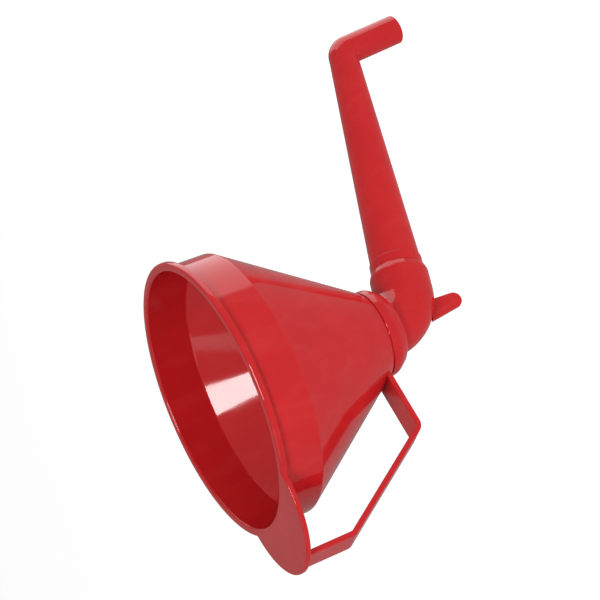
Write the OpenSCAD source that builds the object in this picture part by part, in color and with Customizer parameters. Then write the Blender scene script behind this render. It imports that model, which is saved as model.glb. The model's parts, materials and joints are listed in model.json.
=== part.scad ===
// Hand-held fuel funnel with a turning elbow and a turning offset spout.
// Millimetres, +Z up. Origin: centre of the mouth, on the rim's top face.
// The bowl's axis is Z, the spout leaves toward +X and the handle is on -X.

/* [Bowl] */

// outer diameter of the rolled rim
rim_d = 160; // [150:1:170]
// radial width of the rolled rim
rim_w = 5; // [4:0.2:6]
// height of the rolled rim
rim_h = 4.2; // [3.6:0.2:5]
// outer diameter of the straight band under the rim
band_d = 153.8; // [146:0.2:155]
// depth of the straight band below the rim's top face
band_h = 26.4; // [20:0.2:32]
// depth of the cone's foot below the rim's top face
cone_h = 103; // [98:0.5:104]
// outer diameter of the cone's foot
cone_foot_d = 50.2; // [50:0.2:52]
// wall thickness of the bowl
bowl_wall = 2.2; // [1.8:0.1:2.6]

/* [Rim ear and handle] */

// radius of the round ear at the rim
ear_r = 40.5; // [36:0.5:44]
// distance from the bowl's axis to the ear's centre
ear_x = 68; // [66:0.5:70]
// thickness of the ear
ear_t = 3; // [2.4:0.2:3.6]
// width of the handle strap
strap_w = 18.6; // [15:0.2:21]
// thickness of the handle strap
strap_t = 3.2; // [2.6:0.2:4]
// inner face of the handle's upright leg, from the bowl's axis
strap_x = 102.4; // [100:0.2:104]

/* [Elbow] */

// outer diameter of the elbow's pipe
elbow_d = 34.4; // [33.6:0.2:34.6]
// bore of the elbow's pipe
elbow_bore_d = 29.6; // [29:0.2:30]
// mean radius of the elbow's bend
elbow_bend_r = 22.8; // [22:0.2:24]
// how far below level the spout tube runs, in degrees
spout_fall = 17.2; // [14:0.2:20]
// width of the thumb tab at its round end
tab_w = 9.4; // [8:0.2:10]
// reach of the thumb tab below the rim's top face
tab_z = 163.6; // [158:0.2:168]

/* [Spout] */

// length of the tube from the elbow's socket to the tip's bend
tube_l = 154.7; // [120:0.5:170]
// outer diameter of the tube next to its bead
tube_d = 29.4; // [28.8:0.2:29.6]
// outer diameter of the tube at the tip's bend
tube_end_d = 17.8; // [17.6:0.1:17.8]
// outer diameter of the tip
tip_d = 18; // [17.6:0.1:18.4]
// bore of the tip
tip_bore_d = 14; // [13:0.2:14.4]
// length of the tip from the bend's centre
tip_l = 39.5; // [32:0.5:46]
// fall of the tip below level, in degrees
tip_fall = 85.4; // [80:0.2:90]

/* [Strainer] */

// depth of the strainer ring's top below the rim's top face
strainer_z = 66; // [62:0.5:70]
// height of the strainer ring
strainer_h = 6; // [5:0.5:8]

/* [Hidden] */

$fn = 96;
eps = 0.01;
big = 400;

// how far shapes of one piece run into each other, and the step that leaves in a skin
weld = 0.5;
skin_step = 0.1;

// gaps between bodies
turn_gap = 0.06;
rest_gap = 0.3;
joint_gap = 0.05;

// cone: outer radius at a depth z (z is negative)
cone_top_r = band_d / 2 - 0.9;
cone_foot_r = cone_foot_d / 2;
cone_slope = (cone_top_r - cone_foot_r) / (cone_h - band_h);
cone_skin = bowl_wall * sqrt(1 + cone_slope * cone_slope);
function cone_r(z) = cone_foot_r + cone_slope * (z + cone_h);
function cone_in_r(z) = cone_r(z) - cone_skin;

// rim
rim_r = rim_d / 2;
rim_round = 1.4;

// neck of the bowl
neck_r = 22.3;
neck_h = 5.2;
neck_bore_r = 17.2;
neck_throat_r = 19.4;
neck_end_z = -cone_h - neck_h;
throat_r = 26;
throat_z = -cone_h + (throat_r + cone_skin - cone_foot_r) / cone_slope;
snap_z = -cone_h - 2.6;
snap_r = 0.7;

// neck ring
ring_r = 25.7;
ring_dome_r = 9;
ring_dome_z = -cone_h - 4;
ring_bore_r = 17.9;
ring_end_z = -cone_h - 12.9;

// neck seal
seal_t = 1.15;
seal_in_r = 17.4;
seal_out_r = 20.2;
seal_z = neck_end_z - joint_gap;

// elbow
elbow_r = elbow_d / 2;
elbow_bore_r = elbow_bore_d / 2;
flange_r = 20.4;
flange_t = 2;
flange_z = seal_z - seal_t - 0.2;
flange_well_r = flange_r + rest_gap;
lip_z = flange_z - flange_t - rest_gap;
skirt_r = ring_bore_r - 0.1;
skirt_end_z = ring_end_z - 0.2;
bend_z = flange_z - 2.4;
bend_angle = 90 - spout_fall;
inlet_r = elbow_bore_r + 2;
tab_t = 3;
tab_x = 0.8;
tab_root_w = 13;
tab_root_z = -138;

// socket end: the elbow's straight outlet
socket_l = 14.6;
socket_lip_r = 15.9;
socket_round_l = 4.2;
socket_r = elbow_r + skin_step;
bend_end_x = elbow_bend_r * (1 - cos(bend_angle));
bend_end_z = bend_z - elbow_bend_r * sin(bend_angle);
socket_x = bend_end_x + socket_l * cos(spout_fall);
socket_z = bend_end_z - socket_l * sin(spout_fall);

// spout spigot and bead
spigot_r = elbow_bore_r - turn_gap;
spigot_l = 13.5;
spigot_bore_r = 12.2;
bead_r = 15.35;
bead_l = 6.3;
catch_s = -11.5;
catch_w = 2;
catch_r = 15.2;
groove_s = -5.7;
groove_w = 2.2;
groove_r = 13;
oring_r = (spigot_r - groove_r) / 2;
tube_end_r = tube_end_d / 2;
tube_end_bore_r = tube_end_r - 2;
tip_r = tip_d / 2;
tip_bore_r = tip_bore_d / 2;

// drafted root of the tip, up to which a hose or a filler neck can reach
tip_root_l = 11.5;
tip_root_draft = 0.3;

// round knuckle at the tip's bend, a little proud of the tube and the tip
knuckle_r = tip_r + 0.4;
knuckle_bore_r = tip_bore_r + 0.2;

// strainer
frame_gap = 0.35;
frame_top_r = cone_in_r(-strainer_z) - frame_gap;
frame_low_r = cone_in_r(-strainer_z - strainer_h) - frame_gap;
ledge_t = 1;
ledge_w = 3;
gauze_t = 0.5;
gauze_r = frame_low_r - 1;
gauze_z = -strainer_z - strainer_h + ledge_t + joint_gap;
bar_w = 2.4;
bar_h = 2;
grip_w = 14;
grip_t = 2.4;
grip_top_z = -strainer_z + 3.4;

// handle: inner corners of the strap as [x, z], outward from the rim ear
strap_start = [-strap_x, -ear_t];
strap_knee = [-strap_x, -31];
strap_heel = [-62.2, -94.8];
strap_end = [-20, -94.8];
strap_round = 6;
strap_steps = 8;

// a square with round corners, from [x0, z0] to [x1, z1]
module round_box(x0, z0, x1, z1, r) {
    translate([x0 + r, z0])
        square([x1 - x0 - 2 * r, z1 - z0]);
    translate([x0, z0 + r])
        square([x1 - x0, z1 - z0 - 2 * r]);
    for (x = [x0 + r, x1 - r], z = [z0 + r, z1 - r])
        translate([x, z])
            circle(r);
}

// stands a flat [x, z] outline up in the XZ plane, centred on Y
module upright(thickness) {
    translate([0, thickness / 2, 0])
        rotate([90, 0, 0])
            linear_extrude(thickness)
                children();
}

// puts +Z of its children along the spout tube, from the socket's lip
module along_tube() {
    translate([socket_x, 0, socket_z])
        rotate([0, 90 + spout_fall, 0])
            children();
}

module bowl_outline() {
    polygon([
        [band_d / 2, -1],
        [cone_top_r + 0.4, -band_h + 0.6],
        [cone_top_r, -band_h],
        [cone_foot_r, -cone_h],
        [neck_r, -cone_h],
        [neck_r, neck_end_z],
        [neck_bore_r, neck_end_z],
        [neck_throat_r, -cone_h - 0.6],
        [throat_r, throat_z],
        [band_d / 2 - 2.8, -band_h + 1.8],
        [band_d / 2 - 1.9, -1]
    ]);
    round_box(rim_r - rim_w, -rim_h, rim_r, 0, rim_round);
}

module bowl() {
    color([0.76, 0.07, 0.09]) {
        difference() {
            rotate_extrude()
                bowl_outline();
            translate([0, 0, snap_z])
                rotate_extrude()
                    translate([neck_r, 0])
                        circle(snap_r + joint_gap);
        }
        difference() {
            translate([-ear_x, 0, -ear_t])
                cylinder(r = ear_r, h = ear_t);
            translate([0, 0, -ear_t - 1])
                cylinder(r = rim_r - rim_w / 2, h = ear_t + 2);
        }
    }
}

// points of an arc of radius r that rounds the corner b between the lines a-b and b-c
function unit(v) = v / norm(v);
function corner_arc(a, b, c, r) =
    let (
        u = unit(a - b),
        v = unit(c - b),
        half = acos(u * v) / 2,
        m = b + unit(u + v) * r / sin(half),
        from = b + u * r / tan(half) - m,
        turn = sign(u[0] * v[1] - u[1] * v[0]) * (180 - 2 * half),
        start = atan2(from[1], from[0])
    )
    [for (i = [0:strap_steps]) m + r * [cos(start - turn * i / strap_steps), sin(start - turn * i / strap_steps)]];

// where the two lines offset outward from a corner b by t meet
function outer_corner(a, b, c, t) =
    let (
        u = unit(a - b),
        v = unit(c - b),
        half = acos(u * v) / 2
    )
    b - unit(u + v) * t / sin(half);

module strap_outline() {
    o_start = strap_start - [strap_t, 0];
    o_knee = outer_corner(strap_start, strap_knee, strap_heel, strap_t);
    o_heel = outer_corner(strap_knee, strap_heel, strap_end, strap_t);
    o_end = strap_end - [0, strap_t];
    polygon(concat(
        [strap_start],
        corner_arc(strap_start, strap_knee, strap_heel, strap_round - strap_t),
        [strap_heel, strap_end, o_end],
        corner_arc(o_end, o_heel, o_knee, strap_round),
        corner_arc(o_heel, o_knee, o_start, strap_round),
        [o_start]
    ));
}

module handle() {
    color([0.76, 0.07, 0.09])
        difference() {
            upright(strap_w)
                strap_outline();
            translate([0, 0, -cone_h])
                cylinder(r1 = cone_foot_r, r2 = cone_top_r, h = cone_h - band_h);
        }
}

module neck_ring_outline() {
    difference() {
        union() {
            translate([0, ring_dome_z])
                square([ring_r, -cone_h - joint_gap - ring_dome_z]);
            translate([0, ring_end_z])
                square([ring_r - ring_dome_r, ring_dome_z - ring_end_z]);
            intersection() {
                translate([ring_r - ring_dome_r, ring_dome_z])
                    circle(ring_dome_r);
                translate([0, ring_end_z])
                    square([big, ring_dome_z - ring_end_z]);
            }
        }
        translate([0, neck_end_z - joint_gap])
            square([neck_r + joint_gap, big]);
        translate([0, lip_z])
            square([flange_well_r, big]);
        square([ring_bore_r * 2, big * 2], center = true);
    }
}

module neck_ring() {
    color([0.78, 0.08, 0.1])
        rotate_extrude() {
            neck_ring_outline();
            intersection() {
                translate([neck_r, snap_z])
                    circle(snap_r);
                translate([neck_r - snap_r, snap_z - snap_r])
                    square([snap_r + joint_gap * 2, snap_r * 2]);
            }
        }
}

module neck_seal() {
    color([0.08, 0.08, 0.08])
        translate([0, 0, seal_z - seal_t])
            difference() {
                cylinder(r = seal_out_r, h = seal_t);
                translate([0, 0, -1])
                    cylinder(r = seal_in_r, h = seal_t + 2);
            }
}

// the elbow's bent pipe from the bend's start to its end
module bend(r) {
    translate([elbow_bend_r, 0, bend_z])
        rotate([-90, 0, 0])
            rotate([0, 0, 180 - bend_angle])
                rotate_extrude(angle = bend_angle)
                    translate([elbow_bend_r, 0])
                        circle(r);
}

module elbow_outside() {
    translate([0, 0, flange_z - flange_t])
        cylinder(r = flange_r, h = flange_t);
    translate([0, 0, skirt_end_z - weld])
        cylinder(r = skirt_r, h = flange_z - skirt_end_z + weld);
    difference() {
        bend(elbow_r);
        translate([-big / 2, -big / 2, skirt_end_z])
            cube(big);
    }
    along_tube() {
        translate([0, 0, -socket_l - weld])
            cylinder(r = socket_r, h = socket_l + weld - socket_round_l);
        translate([0, 0, -socket_round_l])
            cylinder(r1 = socket_r, r2 = socket_r - 0.5, h = socket_round_l / 2);
        translate([0, 0, -socket_round_l / 2])
            cylinder(r1 = socket_r - 0.5, r2 = socket_lip_r, h = socket_round_l / 2);
    }
    upright(tab_t) {
        polygon([
            [-tab_root_w / 2, tab_root_z],
            [tab_root_w / 2, tab_root_z],
            [tab_x + tab_w / 2, -tab_z + tab_w / 2],
            [tab_x - tab_w / 2, -tab_z + tab_w / 2]
        ]);
        translate([tab_x, -tab_z + tab_w / 2])
            circle(tab_w / 2);
    }
}

module elbow() {
    color([0.76, 0.07, 0.09])
        difference() {
            elbow_outside();
            translate([0, 0, bend_z - weld])
                cylinder(r1 = elbow_bore_r, r2 = inlet_r, h = flange_z - bend_z + weld + eps);
            bend(elbow_bore_r - skin_step);
            along_tube() {
                translate([0, 0, -socket_l - weld])
                    cylinder(r = elbow_bore_r, h = socket_l + weld + 1);
                translate([0, 0, catch_s - catch_w / 2 - 0.15])
                    cylinder(r = catch_r + 0.15, h = catch_w + 0.3);
            }
        }
}

module spout_seal() {
    color([0.08, 0.08, 0.08])
        along_tube()
            translate([0, 0, groove_s])
                rotate_extrude()
                    translate([groove_r + oring_r, 0])
                        circle(oring_r);
}

// puts +Z of its children along the tip, from the centre of the tip's bend
module along_tip() {
    along_tube()
        translate([0, 0, tube_l])
            rotate([0, tip_fall - spout_fall, 0])
                children();
}

module spout_outside() {
    along_tube() {
        translate([0, 0, -spigot_l])
            cylinder(r = spigot_r, h = spigot_l + bead_l);
        translate([0, 0, catch_s - catch_w / 2])
            cylinder(r1 = spigot_r, r2 = catch_r, h = catch_w / 2);
        translate([0, 0, catch_s])
            cylinder(r1 = catch_r, r2 = spigot_r, h = catch_w / 2);
        translate([0, 0, rest_gap])
            cylinder(r = bead_r, h = bead_l - rest_gap);
        translate([0, 0, bead_l - weld])
            cylinder(r1 = tube_d / 2, r2 = tube_end_r, h = tube_l - bead_l + weld);
        translate([0, 0, tube_l])
            sphere(knuckle_r);
    }
    along_tip() {
        cylinder(
            r1 = tip_r + tip_root_draft,
            r2 = tip_r - skin_step,
            h = tip_root_l * (tip_root_draft + skin_step) / tip_root_draft
        );
        cylinder(r = tip_r, h = tip_l);
    }
}

module spout_inside() {
    along_tube() {
        translate([0, 0, -spigot_l - 1])
            cylinder(r = spigot_bore_r, h = spigot_l + 1 + bead_l);
        translate([0, 0, bead_l - eps])
            cylinder(r1 = spigot_bore_r, r2 = tube_end_bore_r, h = tube_l - bead_l + eps);
        translate([0, 0, tube_l])
            sphere(knuckle_bore_r);
        translate([0, 0, groove_s - groove_w / 2])
            difference() {
                cylinder(r = spigot_r + 1, h = groove_w);
                translate([0, 0, -1])
                    cylinder(r = groove_r - joint_gap, h = groove_w + 2);
            }
    }
    along_tip()
        cylinder(r = tip_bore_r, h = tip_l + 1);
}

module spout() {
    color([0.76, 0.07, 0.09])
        difference() {
            spout_outside();
            spout_inside();
        }
}

module strainer_frame() {
    low_z = -strainer_z - strainer_h;
    color([0.72, 0.06, 0.08]) {
        difference() {
            translate([0, 0, low_z])
                cylinder(r1 = frame_low_r, r2 = frame_top_r, h = strainer_h);
            translate([0, 0, low_z - 1])
                cylinder(r = frame_low_r - ledge_w, h = strainer_h);
            translate([0, 0, low_z + ledge_t])
                cylinder(r = gauze_r + joint_gap, h = gauze_t + 2 * joint_gap);
            translate([0, 0, low_z + ledge_t + gauze_t + joint_gap])
                cylinder(
                    r1 = gauze_r - 1,
                    r2 = frame_top_r - 2.4,
                    h = strainer_h - ledge_t - gauze_t - joint_gap + eps
                );
        }
        difference() {
            for (turn = [0, 90])
                rotate(turn)
                    translate([-frame_low_r + 1, -bar_w / 2, low_z + ledge_t - bar_h])
                        cube([2 * frame_low_r - 2, bar_w, bar_h]);
            difference() {
                translate([0, 0, low_z - bar_h])
                    cylinder(r = frame_top_r, h = 2 * bar_h);
                translate([0, 0, low_z - bar_h - 1])
                    cylinder(r = frame_low_r - 1.5, h = 2 * bar_h + 2);
            }
        }
        translate([-grip_w / 2, -grip_t / 2, low_z + ledge_t - eps])
            cube([grip_w, grip_t, grip_top_z - low_z - ledge_t]);
    }
}

module strainer_gauze() {
    color([0.78, 0.62, 0.28])
        difference() {
            translate([0, 0, gauze_z])
                cylinder(r = gauze_r, h = gauze_t);
            translate([-grip_w / 2 - joint_gap, -grip_t / 2 - joint_gap, gauze_z - 1])
                cube([grip_w + 2 * joint_gap, grip_t + 2 * joint_gap, gauze_t + 2]);
        }
}

bowl();
handle();
neck_ring();
neck_seal();
elbow();
spout_seal();
spout();
strainer_frame();
strainer_gauze();
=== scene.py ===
"""Looks for a hand-held fuel funnel with a turning elbow and a turning offset spout.

Every size in the sub-assemblies is in millimetres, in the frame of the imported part:
the origin is the centre of the mouth, +Z points out of the mouth, +X is the spout's side.
"""

import json
import logging
import math
from collections.abc import Callable, Iterable, Sequence
from dataclasses import dataclass
from enum import Enum

import bmesh
import bpy
from bmesh.types import BMesh, BMVert
from mathutils import Matrix, Vector


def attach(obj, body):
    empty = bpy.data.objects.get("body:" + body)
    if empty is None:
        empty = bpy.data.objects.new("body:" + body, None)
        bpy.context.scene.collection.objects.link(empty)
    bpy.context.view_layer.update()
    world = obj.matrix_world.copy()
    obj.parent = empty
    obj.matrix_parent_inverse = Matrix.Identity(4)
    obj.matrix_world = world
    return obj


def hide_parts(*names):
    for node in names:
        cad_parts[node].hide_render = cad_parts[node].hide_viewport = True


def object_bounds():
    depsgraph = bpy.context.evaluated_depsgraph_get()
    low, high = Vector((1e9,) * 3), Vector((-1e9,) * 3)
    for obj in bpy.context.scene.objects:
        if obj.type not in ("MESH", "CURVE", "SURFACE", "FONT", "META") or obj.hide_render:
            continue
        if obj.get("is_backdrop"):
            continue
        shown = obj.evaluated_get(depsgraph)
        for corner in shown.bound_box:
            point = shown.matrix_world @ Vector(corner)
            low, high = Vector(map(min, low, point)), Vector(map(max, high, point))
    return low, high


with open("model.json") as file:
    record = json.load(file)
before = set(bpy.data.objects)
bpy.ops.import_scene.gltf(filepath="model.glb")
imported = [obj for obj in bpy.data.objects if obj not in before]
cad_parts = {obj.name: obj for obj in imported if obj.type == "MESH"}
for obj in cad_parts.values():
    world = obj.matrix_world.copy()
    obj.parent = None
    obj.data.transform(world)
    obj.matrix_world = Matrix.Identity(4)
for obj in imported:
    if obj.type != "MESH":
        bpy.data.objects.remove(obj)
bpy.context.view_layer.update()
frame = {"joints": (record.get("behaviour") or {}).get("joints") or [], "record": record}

log = logging.getLogger("funnel")

MM = 0.001
TURN = 2 * math.pi
ROUND_STEPS = 192
PIPE_STEPS = 96
SMOOTH_ANGLE = math.radians(38)
WELD = 0.002

# a corner of an outline: radius, height and the size of its rounding, in millimetres
Corner = tuple[float, float, float]


class Slot(Enum):
    """Material slots of the part's record."""

    RED = "red_plastic"
    STRAINER = "strainer_plastic"
    RUBBER = "seal_rubber"
    BRASS = "gauze_brass"


class Body(Enum):
    """Bodies of the part that a piece can ride on."""

    BOWL = "bowl"
    ELBOW = "elbow"
    SPOUT = "spout"
    STRAINER = "strainer"


# ---------------------------------------------------------------- finishes


class Nodes:
    """A material's node tree, with short ways to add and join nodes."""

    def __init__(self, name: str) -> None:
        """Starts an empty tree with a Principled shader on the output."""
        self.material = bpy.data.materials.new(name)
        self.material.use_nodes = True
        self.tree = self.material.node_tree
        self.tree.nodes.clear()
        output = self.tree.nodes.new("ShaderNodeOutputMaterial")
        self.shader = self.tree.nodes.new("ShaderNodeBsdfPrincipled")
        self.link(self.shader.outputs["BSDF"], output.inputs["Surface"])
        self.place = self.tree.nodes.new("ShaderNodeTexCoord").outputs["Object"]

    def link(self, source: bpy.types.NodeSocket, target: bpy.types.NodeSocket) -> None:
        """Joins an output to an input."""
        self.tree.links.new(source, target)

    def stretched(self, scale: Sequence[float]) -> bpy.types.NodeSocket:
        """Object coordinates scaled along each axis."""
        mapping = self.tree.nodes.new("ShaderNodeMapping")
        mapping.inputs["Scale"].default_value = tuple(scale)
        self.link(self.place, mapping.inputs["Vector"])
        return mapping.outputs["Vector"]

    def noise(
        self,
        scale: float,
        detail: float = 3.0,
        distortion: float = 0.0,
        vector: bpy.types.NodeSocket | None = None,
    ) -> bpy.types.NodeSocket:
        """Adds a noise pattern.

        Args:
            scale: Cells per metre.
            detail: Number of finer layers.
            distortion: How far the pattern swirls.
            vector: Coordinates, or None for the object's own.

        Returns:
            The noise's value, 0 to 1.
        """
        node = self.tree.nodes.new("ShaderNodeTexNoise")
        node.inputs["Scale"].default_value = scale
        node.inputs["Detail"].default_value = detail
        node.inputs["Distortion"].default_value = distortion
        self.link(vector or self.place, node.inputs["Vector"])
        return node.outputs["Fac"]

    def spread(
        self, value: bpy.types.NodeSocket, source: tuple[float, float], target: tuple[float, float]
    ) -> bpy.types.NodeSocket:
        """Maps a value from one range onto another, held at its ends."""
        node = self.tree.nodes.new("ShaderNodeMapRange")
        self.link(value, node.inputs["Value"])
        for socket, number in zip(("From Min", "From Max"), source):
            node.inputs[socket].default_value = number
        for socket, number in zip(("To Min", "To Max"), target):
            node.inputs[socket].default_value = number
        return node.outputs["Result"]

    def mix(
        self,
        factor: bpy.types.NodeSocket,
        first: bpy.types.NodeSocket | Sequence[float],
        second: bpy.types.NodeSocket | Sequence[float],
    ) -> bpy.types.NodeSocket:
        """Mixes two colours, each a socket or red, green and blue."""
        node = self.tree.nodes.new("ShaderNodeMix")
        node.data_type = "RGBA"
        self.link(factor, node.inputs["Factor"])
        for socket, colour in ((node.inputs[6], first), (node.inputs[7], second)):
            if isinstance(colour, bpy.types.NodeSocket):
                self.link(colour, socket)
            else:
                socket.default_value = (*colour, 1.0)
        return node.outputs[2]

    def add(self, first: bpy.types.NodeSocket, second: bpy.types.NodeSocket) -> bpy.types.NodeSocket:
        """Sum of two values."""
        node = self.tree.nodes.new("ShaderNodeMath")
        node.operation = "ADD"
        self.link(first, node.inputs[0])
        self.link(second, node.inputs[1])
        return node.outputs["Value"]

    def multiply(self, first: bpy.types.NodeSocket, second: bpy.types.NodeSocket) -> bpy.types.NodeSocket:
        """Product of two values."""
        node = self.tree.nodes.new("ShaderNodeMath")
        node.operation = "MULTIPLY"
        self.link(first, node.inputs[0])
        self.link(second, node.inputs[1])
        return node.outputs["Value"]

    def edges(self, low: float, high: float) -> bpy.types.NodeSocket:
        """1 on outward edges, 0 on flat and hollow places."""
        pointiness = self.tree.nodes.new("ShaderNodeNewGeometry").outputs["Pointiness"]
        return self.spread(pointiness, (low, high), (0.0, 1.0))

    def bump(self, height: bpy.types.NodeSocket, strength: float, distance: float) -> None:
        """Gives the shader a bump, with its distance in metres."""
        node = self.tree.nodes.new("ShaderNodeBump")
        node.inputs["Strength"].default_value = strength
        node.inputs["Distance"].default_value = distance
        self.link(height, node.inputs["Height"])
        self.link(node.outputs["Normal"], self.shader.inputs["Normal"])


@dataclass(frozen=True)
class MouldedPlastic:
    """Glossy moulded polyethylene: cloudy colour, flow marks, faint ripple, and a painted highlight on
    outward edges.
    """

    name: str
    colour: tuple[float, float, float]
    deep: tuple[float, float, float]
    # lighter red used for the flow streaks and for the painted highlight on outward edges
    streak_and_edge_highlight: tuple[float, float, float]
    gloss: tuple[float, float] = (0.06, 0.11)
    flow: tuple[float, float, float] = (1.0, 1.0, 0.25)
    ior: float = 1.51
    ripple_strength: float = 0.16
    ripple_height: float = 0.00012

    def material(self) -> bpy.types.Material:
        """Builds the finish's material."""
        nodes = Nodes(self.name)
        shader = nodes.shader
        cloud = nodes.noise(38, detail=4, distortion=0.6)
        streaks = nodes.noise(110, detail=5, distortion=0.4, vector=nodes.stretched(self.flow))
        fine = nodes.noise(900, detail=2)
        body = nodes.mix(nodes.spread(cloud, (0.35, 0.68), (0.0, 1.0)), self.colour, self.deep)
        streaked = nodes.mix(nodes.spread(streaks, (0.5, 0.75), (0.0, 0.16)), body, self.streak_and_edge_highlight)
        # painted highlight: outward edges are mixed toward the lighter red, by an amount that a fine noise
        # varies
        highlight_strength = nodes.spread(fine, (0.35, 0.6), (0.15, 0.45))
        edge_highlight = nodes.multiply(nodes.edges(0.53, 0.62), highlight_strength)
        nodes.link(nodes.mix(edge_highlight, streaked, self.streak_and_edge_highlight), shader.inputs["Base Color"])
        rough = nodes.spread(cloud, (0.3, 0.7), self.gloss)
        dull = nodes.spread(streaks, (0.4, 0.8), (0.0, 0.05))
        nodes.link(nodes.add(rough, dull), shader.inputs["Roughness"])
        shader.inputs["IOR"].default_value = self.ior
        ripple = nodes.noise(160, detail=1, distortion=0.3)
        grain = nodes.spread(fine, (0.0, 1.0), (0.0, 0.12))
        nodes.bump(nodes.add(ripple, grain), self.ripple_strength, self.ripple_height)
        return nodes.material


FUNNEL_RED = MouldedPlastic(
    name="red_polyethylene",
    colour=(0.55, 0.013, 0.016),
    deep=(0.515, 0.011, 0.014),
    streak_and_edge_highlight=(0.66, 0.05, 0.05),
)
STRAINER_RED = MouldedPlastic(
    name="strainer_polyethylene",
    colour=(0.44, 0.01, 0.016),
    deep=(0.38, 0.008, 0.013),
    streak_and_edge_highlight=(0.6, 0.05, 0.05),
)


@dataclass(frozen=True)
class SealRubber:
    """Matt black nitrile rubber with a fine grain and dust in its pores."""

    name: str = "nitrile_rubber"
    colour: tuple[float, float, float] = (0.018, 0.018, 0.02)
    dust: tuple[float, float, float] = (0.09, 0.085, 0.08)

    def material(self) -> bpy.types.Material:
        """Builds the finish's material."""
        nodes = Nodes(self.name)
        grain = nodes.noise(2600, detail=4)
        patch = nodes.noise(220, detail=3)
        dusty = nodes.spread(patch, (0.5, 0.8), (0.0, 0.5))
        nodes.link(nodes.mix(dusty, self.colour, self.dust), nodes.shader.inputs["Base Color"])
        nodes.link(nodes.spread(patch, (0.3, 0.7), (0.55, 0.8)), nodes.shader.inputs["Roughness"])
        nodes.bump(grain, 0.35, 0.00006)
        return nodes.material


@dataclass(frozen=True)
class WovenBrass:
    """Drawn brass wire: bright on its crowns, browner where it has tarnished."""

    name: str = "brass_wire"
    bright: tuple[float, float, float] = (0.83, 0.6, 0.27)
    tarnish: tuple[float, float, float] = (0.36, 0.2, 0.07)

    def material(self) -> bpy.types.Material:
        """Builds the finish's material."""
        nodes = Nodes(self.name)
        patch = nodes.noise(90, detail=5, distortion=0.8)
        drawn = nodes.noise(3000, detail=2)
        stained = nodes.spread(patch, (0.45, 0.75), (0.0, 0.8))
        nodes.link(nodes.mix(stained, self.bright, self.tarnish), nodes.shader.inputs["Base Color"])
        nodes.link(nodes.spread(patch, (0.3, 0.7), (0.22, 0.45)), nodes.shader.inputs["Roughness"])
        nodes.shader.inputs["Metallic"].default_value = 1.0
        nodes.bump(drawn, 0.2, 0.00003)
        return nodes.material


@dataclass(frozen=True)
class PaleFloor:
    """Even, matt, nearly white studio floor that glows a little so that it stays pale to its edge."""

    name: str = "pale_floor"
    colour: tuple[float, float, float] = (0.86, 0.86, 0.86)
    speck: tuple[float, float, float] = (0.8, 0.8, 0.8)
    glow: float = 0.7

    def material(self) -> bpy.types.Material:
        """Builds the finish's material."""
        nodes = Nodes(self.name)
        patch = nodes.noise(4, detail=6)
        nodes.link(nodes.mix(patch, self.colour, self.speck), nodes.shader.inputs["Base Color"])
        nodes.shader.inputs["Roughness"].default_value = 0.9
        nodes.shader.inputs["Emission Color"].default_value = (1.0, 1.0, 1.0, 1.0)
        nodes.shader.inputs["Emission Strength"].default_value = self.glow
        return nodes.material


# ---------------------------------------------------------------- shaping


def axis_frame(origin: Vector, direction: Vector) -> Matrix:
    """A placement whose +Z runs along a direction in the mirror plane and whose Y stays Y.

    Args:
        origin: Where the placement's origin goes, in millimetres.
        direction: Unit vector in the XZ plane.

    Returns:
        The placement's matrix.
    """
    side = Vector((0, 1, 0))
    across = side.cross(direction)
    turn = Matrix((across, side, direction)).transposed()
    return Matrix.Translation(origin) @ turn.to_4x4()


def wire_outline(bm: BMesh, corners: Sequence[Corner], closed: bool = True) -> list[BMVert]:
    """Draws an outline in the XZ plane and rounds its corners.

    Args:
        bm: The mesh to draw in.
        corners: Radius, height and rounding radius of each corner.
        closed: Whether the last corner joins the first.

    Returns:
        The outline's vertices.
    """
    start = set(bm.verts)
    points = [bm.verts.new((r, 0, z)) for r, z, _ in corners]
    pairs = list(zip(points, points[1:] + points[:1])) if closed else list(zip(points, points[1:]))
    for first, second in pairs:
        bm.edges.new((first, second))
    for point, (_, _, rounding) in zip(points, corners):
        if rounding <= 0 or len(point.link_edges) < 2:
            continue
        one, two = (edge.other_vert(point).co - point.co for edge in point.link_edges)
        half = one.angle(two) / 2
        steps = max(3, min(9, round(2 + rounding * 2)))
        bmesh.ops.bevel(
            bm,
            geom=[point],
            offset=rounding / math.tan(half),
            offset_type="OFFSET",
            segments=steps,
            profile=0.5,
            affect="VERTICES",
            material=-1,
        )
    return [v for v in bm.verts if v not in start]


def lathe(
    bm: BMesh, corners: Sequence[Corner], steps: int, place: Matrix | None = None, closed: bool = True
) -> list[BMVert]:
    """Turns an outline round +Z of a placement.

    Args:
        bm: The mesh to add to.
        corners: The outline.
        steps: Number of steps round.
        place: Placement of the turned shape, or None for the row frame.
        closed: Whether the outline is a closed loop.

    Returns:
        The new vertices.
    """
    before = set(bm.verts)
    wire = wire_outline(bm, corners, closed)
    edges = {edge for vert in wire for edge in vert.link_edges}
    bmesh.ops.spin(
        bm,
        geom=wire + list(edges),
        cent=(0, 0, 0),
        axis=(0, 0, 1),
        angle=TURN,
        steps=steps,
        use_merge=True,
    )
    made = [v for v in bm.verts if v not in before]
    if place is not None:
        bmesh.ops.transform(bm, matrix=place, verts=made)
    return made


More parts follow.
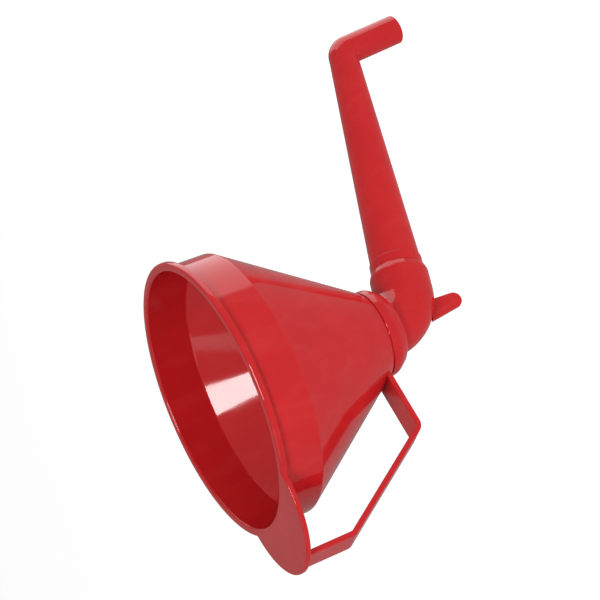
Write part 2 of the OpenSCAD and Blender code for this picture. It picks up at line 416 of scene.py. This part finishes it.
def slab(bm: BMesh, corners: Sequence[Corner], thickness: float, edge: float, steps: int = 3) -> list[BMVert]:
    """Cuts an outline in the XZ plane out of a plate centred on Y, with rounded edges.

    Args:
        bm: The mesh to add to.
        corners: The outline, as X, Z and rounding.
        thickness: Width along Y.
        edge: Rounding of the plate's long edges.
        steps: Segments of that rounding.

    Returns:
        The new vertices.
    """
    before = set(bm.verts)
    wire = wire_outline(bm, corners)
    edges = list({e for vert in wire for e in vert.link_edges})
    face = bmesh.ops.contextual_create(bm, geom=edges)["faces"][0]
    bmesh.ops.translate(bm, vec=(0, -thickness / 2, 0), verts=wire)
    pulled = bmesh.ops.extrude_face_region(bm, geom=[face])["geom"]
    far = [v for v in pulled if isinstance(v, BMVert)]
    bmesh.ops.translate(bm, vec=(0, thickness, 0), verts=far)
    made = [v for v in bm.verts if v not in before]
    faces = {f for v in made for f in v.link_faces}
    bmesh.ops.recalc_face_normals(bm, faces=list(faces))
    rims = [
        e
        for e in {e for v in made for e in v.link_edges}
        if abs(e.verts[0].co.y - e.verts[1].co.y) < WELD
    ]
    bmesh.ops.bevel(
        bm,
        geom=rims,
        offset=edge,
        offset_type="OFFSET",
        segments=steps,
        profile=0.5,
        affect="EDGES",
        material=-1,
        clamp_overlap=True,
    )
    return [v for v in bm.verts if v not in before]


def boundary(bm: BMesh, near: Callable[[BMVert], bool]) -> list[bmesh.types.BMEdge]:
    """Open edges both of whose ends pass a test."""
    return [e for e in bm.edges if e.is_boundary and near(e.verts[0]) and near(e.verts[1])]


def finish_piece(
    name: str,
    bm: BMesh,
    body: Body,
    material: bpy.types.Material,
    stands_for: Iterable[str],
) -> bpy.types.Object:
    """Turns a mesh in millimetres into a finished piece of the scene.

    Args:
        name: Name of the piece.
        bm: Its mesh, which is freed.
        body: Body that it rides on.
        material: Its material.
        stands_for: CAD nodes that it replaces.

    Returns:
        The piece's object.
    """
    bmesh.ops.remove_doubles(bm, verts=bm.verts, dist=WELD)
    bmesh.ops.dissolve_degenerate(bm, edges=bm.edges, dist=WELD)
    bmesh.ops.recalc_face_normals(bm, faces=bm.faces)
    bmesh.ops.scale(bm, vec=(MM, MM, MM), verts=bm.verts)
    for face in bm.faces:
        face.smooth = True
    for edge in bm.edges:
        edge.smooth = len(edge.link_faces) == 2 and edge.calc_face_angle(0.0) < SMOOTH_ANGLE
    open_edges = sum(1 for edge in bm.edges if not edge.is_manifold)
    mesh = bpy.data.meshes.new(name)
    bm.to_mesh(mesh)
    bm.free()
    mesh.materials.append(material)
    piece = bpy.data.objects.new(name, mesh)
    bpy.context.scene.collection.objects.link(piece)
    even = piece.modifiers.new("even_shading", "WEIGHTED_NORMAL")
    even.keep_sharp = True
    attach(piece, body.value)
    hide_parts(*stands_for)
    log.info("%s: %d faces, %d open edges", name, len(mesh.polygons), open_edges)
    return piece


# ---------------------------------------------------------------- sub-assemblies


@dataclass
class Bowl:
    """Rimmed mouth, straight band, cone and neck, with the flat ear that carries the handle."""

    rim_r: float = 80.0
    rim_w: float = 5.0
    rim_h: float = 4.2
    rim_round: float = 1.4
    band_r: float = 76.9
    band_h: float = 26.4
    cone_top_r: float = 76.0
    cone_foot_r: float = 25.1
    cone_h: float = 103.0
    wall: float = 2.2
    neck_r: float = 22.3
    neck_end: float = -108.2
    ear_x: float = 68.0
    ear_r: float = 40.5
    ear_t: float = 3.0
    ear_round: float = 0.9
    ear_start: float = 6.0

    @property
    def slope(self) -> float:
        """Growth of the cone's radius per millimetre of height."""
        return (self.cone_top_r - self.cone_foot_r) / (self.cone_h - self.band_h)

    def cone_r(self, z: float) -> float:
        """Outer radius of the cone at a height."""
        return self.cone_foot_r + self.slope * (z + self.cone_h)

    def outline(self) -> list[Corner]:
        """Section of the bowl from the rim's inner edge, out and down to the neck, and back up inside."""
        skin = self.wall * math.hypot(1, self.slope)
        throat_z = -self.cone_h + (26.0 + skin - self.cone_foot_r) / self.slope
        inner = self.rim_r - self.rim_w
        return [
            (inner, 0.0, self.rim_round),
            (self.rim_r, 0.0, self.rim_round),
            (self.rim_r, -self.rim_h, self.rim_round),
            (self.band_r - 0.05, -self.rim_h, 1.1),
            (self.cone_top_r + 0.35, -self.band_h, 1.6),
            (self.cone_foot_r, -self.cone_h, 0.0),
            (self.neck_r, -self.cone_h, 0.0),
            (self.neck_r, self.neck_end, 0.4),
            (17.2, self.neck_end, 0.4),
            (19.4, -103.6, 1.0),
            (26.0, throat_z, 2.0),
            (self.band_r - 2.8, -self.band_h + 1.8, 2.4),
            (self.band_r - 1.9, -3.0, 0.0),
        ]

    def pull_ear(self, bm: BMesh) -> None:
        """Adds the ear: a lune outside the rim, flush with its top, closed under the rim."""
        corner = math.acos((self.ear_x**2 + self.rim_r**2 - self.ear_r**2) / (2 * self.ear_x * self.rim_r))
        reach = corner + math.radians(3.5)
        root = self.rim_r - self.rim_round - 1.2
        rows = [
            (0.0, 0.0),
            *(
                (1 - math.sin(a), 1 - math.cos(a))
                for a in (math.radians(d) for d in (0, 15, 30, 45, 60, 75, 90))
            ),
        ]
        steps = 64
        before = set(bm.verts)
        top = bm.verts.new((-root, 0, 0))
        chain = [top]
        for out, down in rows[1:]:
            x = -(self.rim_r + self.ear_start - self.ear_round * out)
            chain.append(bm.verts.new((x, 0, -self.ear_round * down)))
        for out, down in reversed(rows[1:]):
            x = -(self.rim_r + self.ear_start - self.ear_round * out)
            chain.append(bm.verts.new((x, 0, -self.ear_t + self.ear_round * down)))
        chain.append(bm.verts.new((-root, 0, -self.ear_t)))
        edges = [bm.edges.new(pair) for pair in zip(chain, chain[1:] + chain[:1])]
        inset = {v: (self.rim_r + self.ear_start + v.co.x) for v in chain}
        levels = {round(v.co.z, 5): inset[v] for v in chain if v.co.x < -root - 0.01}
        bmesh.ops.rotate(bm, cent=(0, 0, 0), matrix=Matrix.Rotation(-reach, 3, "Z"), verts=chain)
        bmesh.ops.spin(
            bm,
            geom=chain + edges,
            cent=(0, 0, 0),
            axis=(0, 0, 1),
            angle=2 * reach,
            steps=steps,
            use_merge=False,
        )
        made = [v for v in bm.verts if v not in before]
        for v in made:
            radius = math.hypot(v.co.x, v.co.y)
            if radius < root + 0.01:
                continue
            phi = math.atan2(v.co.y, -v.co.x)
            edge_in = levels[round(v.co.z, 5)]
            arc = (self.ear_r - edge_in) ** 2 - (self.ear_x * math.sin(phi)) ** 2
            far = self.ear_x * math.cos(phi) + math.sqrt(max(arc, 0.0))
            far = max(far, root + 0.05)
            v.co.x, v.co.y = -far * math.cos(phi), far * math.sin(phi)
        for side in (-1, 1):
            phi = side * reach
            loose = [v for v in made if abs(math.atan2(v.co.y, -v.co.x) - phi) < 1e-4]
            ends = {e for v in loose for e in v.link_edges if e.is_boundary}
            bmesh.ops.contextual_create(bm, geom=list(ends))
        bmesh.ops.translate(bm, vec=(0, 0, 0.02), verts=[v for v in made if v.co.z > -0.5 * self.ear_t])

    def build(self, material: bpy.types.Material) -> None:
        """Makes and dresses the bowl."""
        bm = bmesh.new()
        lathe(bm, self.outline(), ROUND_STEPS)
        self.pull_ear(bm)
        finish_piece("bowl_moulding", bm, Body.BOWL, material, ["bowl"])


@dataclass
class Handle:
    """Flat strap from the ear, down, across and back to the foot of the cone."""

    bowl: Bowl
    width: float = 18.6
    thickness: float = 3.2
    inner_x: float = -102.4
    knee_z: float = -31.0
    heel_x: float = -62.2
    heel_z: float = -94.8
    end_x: float = -24.0
    outer_round: float = 6.0
    inner_round: float = 2.8
    edge: float = 0.7

    def outline(self) -> list[Corner]:
        """The strap's side view: inner line first, then back along the outer line."""
        start = Vector((self.inner_x, -1.6))
        knee = Vector((self.inner_x, self.knee_z))
        heel = Vector((self.heel_x, self.heel_z))
        end = Vector((self.end_x, self.heel_z))

        def shifted(before: Vector, corner: Vector, after: Vector) -> Vector:
            """The outer corner that belongs to an inner one."""
            one, two = (before - corner).normalized(), (after - corner).normalized()
            half = one.angle(two) / 2
            return corner - (one + two).normalized() * self.thickness / math.sin(half)

        outer_knee = shifted(start, knee, heel)
        outer_heel = shifted(knee, heel, end)
        return [
            (*start, 0.0),
            (*knee, self.inner_round),
            (*heel, 0.5),
            (*end, 0.0),
            (end.x, end.y - self.thickness, 0.0),
            (*outer_heel, self.outer_round),
            (*outer_knee, self.outer_round),
            (start.x - self.thickness, start.y, 0.0),
        ]

    def build(self, material: bpy.types.Material) -> None:
        """Makes and dresses the handle."""
        bm = bmesh.new()
        slab(bm, self.outline(), self.width, self.edge)
        finish_piece("handle_strap", bm, Body.BOWL, material, ["handle"])


@dataclass
class NeckJoint:
    """Domed ring that snaps over the neck and holds the elbow's flange, with its flat seal."""

    cone_foot: float = -103.05
    ring_r: float = 25.7
    dome_z: float = -107.0
    ring_end: float = -115.9
    bore_r: float = 17.9
    well_r: float = 20.7
    neck_r: float = 22.35
    lip_z: float = -111.9
    seal_z: float = -108.25
    seal_t: float = 1.15

    def build(self, plastic: bpy.types.Material, rubber: bpy.types.Material) -> None:
        """Makes and dresses the ring and the seal."""
        top = self.cone_foot
        bm = bmesh.new()
        lathe(
            bm,
            [
                (self.neck_r, top, 0.25),
                (self.ring_r, top, 0.45),
                (self.ring_r, self.dome_z - 0.8, 6.5),
                (self.ring_r - 4.2, self.ring_end + 2.2, 7.0),
                (self.bore_r + 0.9, self.ring_end, 0.5),
                (self.bore_r, self.ring_end, 0.3),
                (self.bore_r, self.lip_z, 0.25),
                (self.well_r, self.lip_z, 0.3),
                (self.well_r, -108.3, 0.0),
                (self.neck_r, -108.3, 0.0),
                (self.neck_r, -106.4, 0.0),
                (self.neck_r - 0.62, -105.6, 0.3),
                (self.neck_r, -104.8, 0.0),
            ],
            ROUND_STEPS,
        )
        finish_piece("neck_ring_cap", bm, Body.BOWL, plastic, ["neck_ring"])
        bm = bmesh.new()
        low = self.seal_z - self.seal_t
        lathe(
            bm,
            [
                (17.4, self.seal_z, 0.25),
                (20.2, self.seal_z, 0.25),
                (20.2, low, 0.25),
                (19.2, low, 0.1),
                (18.8, low + 0.25, 0.1),
                (18.4, low, 0.1),
                (17.4, low, 0.25),
            ],
            ROUND_STEPS,
        )
        finish_piece("neck_seal_ring", bm, Body.BOWL, rubber, ["neck_seal"])


@dataclass
class Elbow:
    """Bent pipe with a flange at its inlet, a socket at its outlet and a thumb tab under its heel."""

    pipe_r: float = 17.2
    bore_r: float = 14.8
    flange_r: float = 20.4
    flange_top: float = -109.6
    flange_low: float = -111.6
    skirt_r: float = 17.8
    skirt_end: float = -116.0
    bend_z: float = -112.0
    bend_r: float = 22.8
    socket_l: float = 14.6
    lip_r: float = 15.75
    inlet_r: float = 16.8
    bend_steps: int = 40
    tab_t: float = 3.0

    def __post_init__(self) -> None:
        """Reads the outlet's axis from the part's joint."""
        joint = next(j for j in frame["joints"] if j["name"] == "spout_swivel")
        self.lip = Vector(joint["pos_m"]) / MM
        self.along = Vector(joint["axis"]).normalized()
        self.outlet = axis_frame(self.lip, self.along)
        self.angle = math.atan2(self.along.x, -self.along.z)
        self.pivot = Vector((self.bend_r, 0, self.bend_z))

    def bent_pipe(self, bm: BMesh, radius: float, start_z: float) -> None:
        """Sweeps a circle round the bend, with its first edge cut level.

        Args:
            bm: The mesh to add to.
            radius: Radius of the pipe.
            start_z: Height of the level cut.
        """
        before = set(bm.verts)
        place = Matrix.Translation((0, 0, self.bend_z))
        ring = bmesh.ops.create_circle(
            bm, cap_ends=False, segments=PIPE_STEPS, radius=radius, matrix=place
        )["verts"]
        edges = {e for v in ring for e in v.link_edges}
        bmesh.ops.spin(
            bm,
            geom=ring + list(edges),
            cent=self.pivot,
            axis=(0, -1, 0),
            angle=self.angle,
            steps=self.bend_steps,
            use_merge=False,
        )
        drop = self.bend_z - start_z
        for v in bm.verts:
            if v in before:
                continue
            out, down = self.pivot.x - v.co.x, self.pivot.z - v.co.z
            ray = math.hypot(out, down)
            turn = math.atan2(down, out)
            first = math.asin(drop / ray)
            turn = first + (self.angle - first) * turn / self.angle
            v.co.x = self.pivot.x - ray * math.cos(turn)
            v.co.z = self.pivot.z - ray * math.sin(turn)

    def build(self, material: bpy.types.Material) -> None:
        """Makes and dresses the elbow."""
        bm = bmesh.new()
        start = self.skirt_end - 0.2
        self.bent_pipe(bm, self.pipe_r, start)
        lathe(
            bm,
            [
                (self.inlet_r, self.flange_top, 0.0),
                (self.flange_r, self.flange_top, 0.3),
                (self.flange_r, self.flange_low, 0.3),
                (self.skirt_r, self.flange_low, 0.2),
                (self.skirt_r, self.skirt_end, 0.0),
            ],
            PIPE_STEPS,
            closed=False,
        )
        skirt = boundary(bm, lambda v: abs(v.co.z - self.skirt_end) < WELD)
        first = boundary(bm, lambda v: abs(v.co.z - start) < WELD)
        bmesh.ops.bridge_loops(bm, edges=skirt + first)
        self.bent_pipe(bm, self.bore_r, self.bend_z - 0.01)
        lathe(
            bm,
            [(self.inlet_r, self.flange_top, 0.0), (self.bore_r, self.bend_z - 0.01, 0.0)],
            PIPE_STEPS,
            closed=False,
        )
        lathe(
            bm,
            [
                (self.pipe_r, -self.socket_l, 0.0),
                (self.pipe_r, -3.4, 5.0),
                (self.lip_r + 0.15, 0.0, 0.25),
                (self.bore_r, 0.0, 0.2),
                (self.bore_r, -self.socket_l, 0.0),
            ],
            PIPE_STEPS,
            place=self.outlet,
            closed=False,
        )
        bmesh.ops.remove_doubles(bm, verts=bm.verts, dist=0.02)
        bmesh.ops.recalc_face_normals(bm, faces=bm.faces)
        slab(
            bm,
            [
                (-6.3, -140.4, 0.0),
                (-1.5, -142.6, 0.0),
                (6.3, -146.4, 0.0),
                (5.5, -158.9, 0.0),
                (5.3, -163.6, 4.7),
                (-3.8, -163.6, 4.6),
                (-4.0, -158.9, 0.0),
            ],
            self.tab_t,
            0.55,
        )
        finish_piece("elbow_pipe", bm, Body.ELBOW, material, ["elbow"])


@dataclass
class Spout:
    """Long tapered tube with a spigot and a bead, and a bent tip; an O-ring sits in the spigot."""

    elbow: Elbow
    spigot_r: float = 14.74
    spigot_l: float = 13.5
    spigot_bore_r: float = 12.2
    bead_r: float = 15.35
    bead_l: float = 6.3
    tube_r: float = 14.7
    tube_l: float = 154.7
    tip_r: float = 9.0
    tip_bore_r: float = 7.0
    tip_l: float = 39.5
    crease: float = 0.5
    heel_arc: float = 14.3
    groove_s: float = -5.7
    groove_w: float = 2.2
    groove_r: float = 13.0
    knuckle_steps: int = 28

    def __post_init__(self) -> None:
        """Places the tip from the part's own mount."""
        mount = next(m for m in frame["record"]["mounts"] if m["name"] == "spout_tip")
        self.tip_axis = Vector(mount["axis"]).normalized()
        self.along = self.elbow.along
        self.turn = self.along.angle(self.tip_axis)
        self.centre = self.elbow.lip + self.along * self.tube_l
        self.inward = (self.tip_axis - self.along * self.tip_axis.dot(self.along)).normalized()
        self.back = (self.tip_r + self.crease) * math.tan(self.turn / 2)
        self.pivot = self.centre - self.along * self.back + self.inward * (self.tip_r + self.crease)

    def heel_reach(self, angle: float) -> float:
        """Distance from the inner corner's pivot to the bend's outside, at an angle through the bend.

        Args:
            angle: Angle from the bend's first section.

        Returns:
            The distance, in millimetres.
        """
        half = self.turn / 2
        wide = 2 * self.tip_r + self.crease
        from_end = min(angle, self.turn - angle)
        arc_centre = (wide - self.heel_arc) / math.cos(half)
        if from_end < math.atan(arc_centre * math.sin(half) / wide):
            return wide / math.cos(from_end)
        side = angle - half
        return arc_centre * math.cos(side) + math.sqrt(self.heel_arc**2 - (arc_centre * math.sin(side)) ** 2)

    def knuckle(self, bm: BMesh, radius: float) -> None:
        """Sweeps a circle round the tip's bend, with a tight inner corner and a full round heel."""
        before = set(bm.verts)
        place = axis_frame(self.centre - self.along * self.back, self.along)
        ring = bmesh.ops.create_circle(
            bm, cap_ends=False, segments=PIPE_STEPS, radius=radius, matrix=place
        )["verts"]
        edges = {e for v in ring for e in v.link_edges}
        bmesh.ops.spin(
            bm,
            geom=ring + list(edges),
            cent=self.pivot,
            axis=self.along.cross(self.tip_axis),
            angle=self.turn,
            steps=self.knuckle_steps,
            use_merge=False,
        )
        wide = 2 * self.tip_r
        for v in bm.verts:
            if v in before:
                continue
            arm = v.co - self.pivot
            level = Vector((arm.x, 0, arm.z))
            angle = (-self.inward).angle(level)
            grow = (self.heel_reach(angle) - self.crease) / wide
            reach = self.crease + (level.length - self.crease) * grow
            level = level.normalized() * reach
            v.co.x, v.co.z = self.pivot.x + level.x, self.pivot.z + level.z

    def build(self, plastic: bpy.types.Material, rubber: bpy.types.Material) -> None:
        """Makes and dresses the spout and its O-ring."""
        groove_a, groove_b = self.groove_s - self.groove_w / 2, self.groove_s + self.groove_w / 2
        neck = self.tube_l - self.back
        bm = bmesh.new()
        lathe(
            bm,
            [
                (self.tip_r, neck, 0.0),
                (self.tube_r, self.bead_l + 0.15, 0.3),
                (self.bead_r, self.bead_l, 0.35),
                (self.bead_r, 0.3, 0.35),
                (self.spigot_r, 0.3, 0.1),
                (self.spigot_r, groove_b, 0.15),
                (self.groove_r, groove_b, 0.15),
                (self.groove_r, groove_a, 0.15),
                (self.spigot_r, groove_a, 0.15),
                (self.spigot_r, -10.5, 0.0),
                (15.2, -11.5, 0.2),
                (self.spigot_r, -12.5, 0.0),
                (self.spigot_r - 0.4, -self.spigot_l, 0.3),
                (self.spigot_bore_r, -self.spigot_l, 0.3),
                (self.spigot_bore_r, self.bead_l, 2.0),
                (self.tip_bore_r, neck, 0.0),
            ],
            PIPE_STEPS,
            place=self.elbow.outlet,
            closed=False,
        )
        self.knuckle(bm, self.tip_r)
        self.knuckle(bm, self.tip_bore_r)
        tip = axis_frame(self.centre, self.tip_axis)
        lathe(
            bm,
            [
                (self.tip_r, self.back, 0.0),
                (self.tip_r, self.tip_l, 0.55),
                (self.tip_bore_r, self.tip_l, 0.45),
                (self.tip_bore_r, self.back, 0.0),
            ],
            PIPE_STEPS,
            place=tip,
            closed=False,
        )
        bmesh.ops.remove_doubles(bm, verts=bm.verts, dist=0.02)
        finish_piece("spout_tube", bm, Body.SPOUT, plastic, ["spout"])
        bm = bmesh.new()
        oring = (self.spigot_r - self.groove_r) / 2
        mid = self.groove_r + oring
        lathe(
            bm,
            [
                (mid - oring, self.groove_s - oring, oring * 0.96),
                (mid + oring, self.groove_s - oring, oring * 0.96),
                (mid + oring, self.groove_s + oring, oring * 0.96),
                (mid - oring, self.groove_s + oring, oring * 0.96),
            ],
            PIPE_STEPS,
            place=self.elbow.outlet,
        )
        finish_piece("spout_o_ring", bm, Body.SPOUT, rubber, ["spout_seal"])


@dataclass
class Strainer:
    """Lift-out ring with cross bars and a grip, round a disc of woven wire."""

    bowl: Bowl
    top: float = -66.0
    height: float = 6.0
    hub_r: float = 5.5
    hub_top: float = -71.1
    hub_drop: float = 0.2
    hub_steps: int = 64
    gap: float = 0.35
    ledge: float = 3.0
    bar_w: float = 2.4
    bar_low: float = -73.0
    grip_w: float = 14.0
    grip_t: float = 2.4
    grip_top: float = -62.6
    pitch: float = 1.5
    wire_r: float = 0.15
    gauze_z: float = -70.7

    def inner_r(self, z: float) -> float:
        """Inner radius of the bowl's cone at a height."""
        return self.bowl.cone_r(z) - self.bowl.wall * math.hypot(1, self.bowl.slope)

    def build_frame(self, material: bpy.types.Material) -> None:
        """Makes and dresses the ring with its bars and grip."""
        low = self.top - self.height
        top_r = self.inner_r(self.top) - self.gap
        low_r = self.inner_r(low) - self.gap
        bm = bmesh.new()
        lathe(
            bm,
            [
                (top_r - 2.4, self.top, 0.6),
                (top_r, self.top, 0.6),
                (low_r, low, 0.6),
                (low_r - self.ledge, low, 0.4),
                (low_r - self.ledge, low + 1.9, 0.4),
                (low_r - 1.9, low + 2.0, 0.5),
            ],
            ROUND_STEPS,
        )
        length = 2 * low_r - 3.5
        bar = [
            (-length / 2, self.bar_low, 0.5),
            (length / 2, self.bar_low, 0.5),
            (length / 2, self.bar_low + 1.9, 0.2),
            (-length / 2, self.bar_low + 1.9, 0.2),
        ]
        slab(bm, bar, self.bar_w, 0.5)
        across = slab(bm, bar, self.bar_w, 0.5)
        bmesh.ops.rotate(bm, cent=(0, 0, 0), matrix=Matrix.Rotation(math.pi / 2, 3, "Z"), verts=across)
        hub_low = self.bar_low - self.hub_drop
        lathe(
            bm,
            [
                (0.0, hub_low, 0.0),
                (self.hub_r, hub_low, 0.6),
                (self.hub_r, self.hub_top, 0.5),
                (0.0, self.hub_top, 0.0),
            ],
            self.hub_steps,
            closed=False,
        )
        half = self.grip_w / 2
        slab(
            bm,
            [
                (-half, -71.4, 0.0),
                (half, -71.4, 0.0),
                (half - 0.6, self.grip_top, 3.0),
                (-half + 0.6, self.grip_top, 3.0),
            ],
            self.grip_t,
            0.6,
        )
        finish_piece("strainer_ring", bm, Body.STRAINER, material, ["strainer_frame"])

    def wire(self, offset: float, over: int, half: float, turn: float) -> bpy.types.Mesh:
        """Weaves one wire, over and under its neighbours.

        Args:
            offset: The wire's distance from the disc's middle line.
            over: 1 if its middle crossing passes over, 0 if under.
            half: Half its length.
            turn: Direction of the wire from X, in radians.

        Returns:
            The wire's mesh.
        """
        count = int(half / self.pitch)
        upright = Matrix.Rotation(math.pi / 2, 4, "Y")
        bm = bmesh.new()
        bmesh.ops.create_circle(bm, cap_ends=True, segments=4, radius=self.wire_r, matrix=upright)
        front = list(bm.faces)
        at = Vector((-half, offset, self.gauze_z))
        bmesh.ops.translate(bm, vec=at, verts=bm.verts)
        stops = [(k * self.pitch, k) for k in range(-count, count + 1)] + [(half, None)]
        for x, k in stops:
            lift = 0.0 if k is None else self.wire_r * 0.8 * (1 if (k + over) % 2 else -1)
            goal = Vector((x, offset, self.gauze_z + lift))
            grown = bmesh.ops.extrude_discrete_faces(bm, faces=front)
            front = grown["faces"]
            bmesh.ops.translate(bm, vec=goal - at, verts=front[0].verts)
            at = goal
        bmesh.ops.holes_fill(bm, edges=[e for e in bm.edges if e.is_boundary], sides=4)
        bmesh.ops.recalc_face_normals(bm, faces=bm.faces)
        bmesh.ops.rotate(bm, cent=(0, 0, 0), matrix=Matrix.Rotation(turn, 3, "Z"), verts=bm.verts)
        mesh = bpy.data.meshes.new("wire")
        bm.to_mesh(mesh)
        bm.free()
        return mesh

    def build_gauze(self, material: bpy.types.Material) -> None:
        """Makes and dresses the woven disc."""
        radius = self.inner_r(self.top - self.height) - self.gap - 1.2
        bm = bmesh.new()
        count = int(radius / self.pitch)
        for turn in (0, 1):
            for k in range(-count, count + 1):
                offset = k * self.pitch
                half = math.sqrt(radius**2 - offset**2)
                if half < 2 * self.pitch:
                    continue
                mesh = self.wire(offset, k + turn, half, turn * math.pi / 2)
                bm.from_mesh(mesh)
                bpy.data.meshes.remove(mesh)
        finish_piece("woven_gauze", bm, Body.STRAINER, material, ["strainer_gauze"])


# ---------------------------------------------------------------- studio


@dataclass(frozen=True)
class Softbox:
    """Rectangular soft lamp that looks at the part."""

    name: str
    place: tuple[float, float, float]
    size: tuple[float, float]
    power: float
    aim: tuple[float, float, float] = (0.03, 0.0, -0.08)

    def build(self) -> None:
        """Hangs the lamp."""
        lamp = bpy.data.lights.new(self.name, "AREA")
        lamp.shape = "RECTANGLE"
        lamp.size, lamp.size_y = self.size
        lamp.energy = self.power
        holder = bpy.data.objects.new(self.name, lamp)
        bpy.context.scene.collection.objects.link(holder)
        holder.location = self.place
        holder.visible_camera = False
        view = Vector(self.aim) - Vector(self.place)
        holder.rotation_mode = "QUATERNION"
        holder.rotation_quaternion = view.to_track_quat("-Z", "Y")


@dataclass
class Studio:
    """Pale floor, even room light, three softboxes and the camera."""

    floor_drop: float = 0.38
    floor_size: float = 60.0
    room: float = 0.3
    eye: tuple[float, float, float] = (-0.4202, -1.0599, 0.3813)
    right: tuple[float, float, float] = (-0.4739, -0.1693, -0.8641)
    up: tuple[float, float, float] = (0.8001, -0.4925, -0.3423)
    lens: float = 131.963
    lamps: tuple[Softbox, ...] = (
        Softbox("key_softbox", (-0.45, -1.15, 1.3), (0.7, 0.5), 19.0),
        Softbox("side_softbox", (1.4, 0.0, -0.3), (1.7, 1.5), 11.0),
        Softbox("fill_softbox", (-1.6, -0.5, 0.9), (1.0, 1.0), 3.0),
    )

    def build_floor(self) -> None:
        """Lays the floor well below the part."""
        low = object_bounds()[0].z - self.floor_drop
        bm = bmesh.new()
        bmesh.ops.create_grid(
            bm, x_segments=8, y_segments=8, size=self.floor_size / 2, matrix=Matrix.Translation((0, 0, low))
        )
        mesh = bpy.data.meshes.new("floor")
        bm.to_mesh(mesh)
        bm.free()
        mesh.materials.append(PaleFloor().material())
        floor = bpy.data.objects.new("floor", mesh)
        bpy.context.scene.collection.objects.link(floor)
        floor.visible_glossy = False
        floor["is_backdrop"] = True

    def build_room(self) -> None:
        """Gives the room one even grey light."""
        world = bpy.data.worlds.new("room")
        world.use_nodes = True
        background = world.node_tree.nodes["Background"]
        background.inputs["Color"].default_value = (1.0, 1.0, 1.0, 1.0)
        background.inputs["Strength"].default_value = self.room
        bpy.context.scene.world = world

    def build_camera(self) -> None:
        """Sets the camera."""
        scene = bpy.context.scene
        camera = bpy.data.cameras.new("camera")
        camera.lens = self.lens
        camera.sensor_width = 36.0
        camera.clip_start, camera.clip_end = 0.05, 200.0
        holder = bpy.data.objects.new("camera", camera)
        scene.collection.objects.link(holder)
        right, up = Vector(self.right).normalized(), Vector(self.up).normalized()
        turn = Matrix((right, up, right.cross(up))).transposed()
        holder.matrix_world = Matrix.Translation(self.eye) @ turn.to_4x4()
        scene.camera = holder
        scene.view_settings.view_transform = "Standard"

    def build(self) -> None:
        """Sets the floor, the room's light, the lamps and the camera."""
        self.build_floor()
        self.build_room()
        for lamp in self.lamps:
            lamp.build()
        self.build_camera()


def main() -> None:
    """Builds the funnel's pieces in order, then the studio."""
    logging.basicConfig(level=logging.INFO, format="%(name)s: %(message)s")
    red = FUNNEL_RED.material()
    deep_red = STRAINER_RED.material()
    rubber = SealRubber().material()
    brass = WovenBrass().material()
    bowl = Bowl()
    bowl.build(red)
    Handle(bowl).build(red)
    NeckJoint().build(red, rubber)
    elbow = Elbow()
    elbow.build(red)
    Spout(elbow).build(red, rubber)
    strainer = Strainer(bowl)
    strainer.build_frame(deep_red)
    strainer.build_gauze(brass)
    Studio().build()


if __name__ == "__main__":
    main()
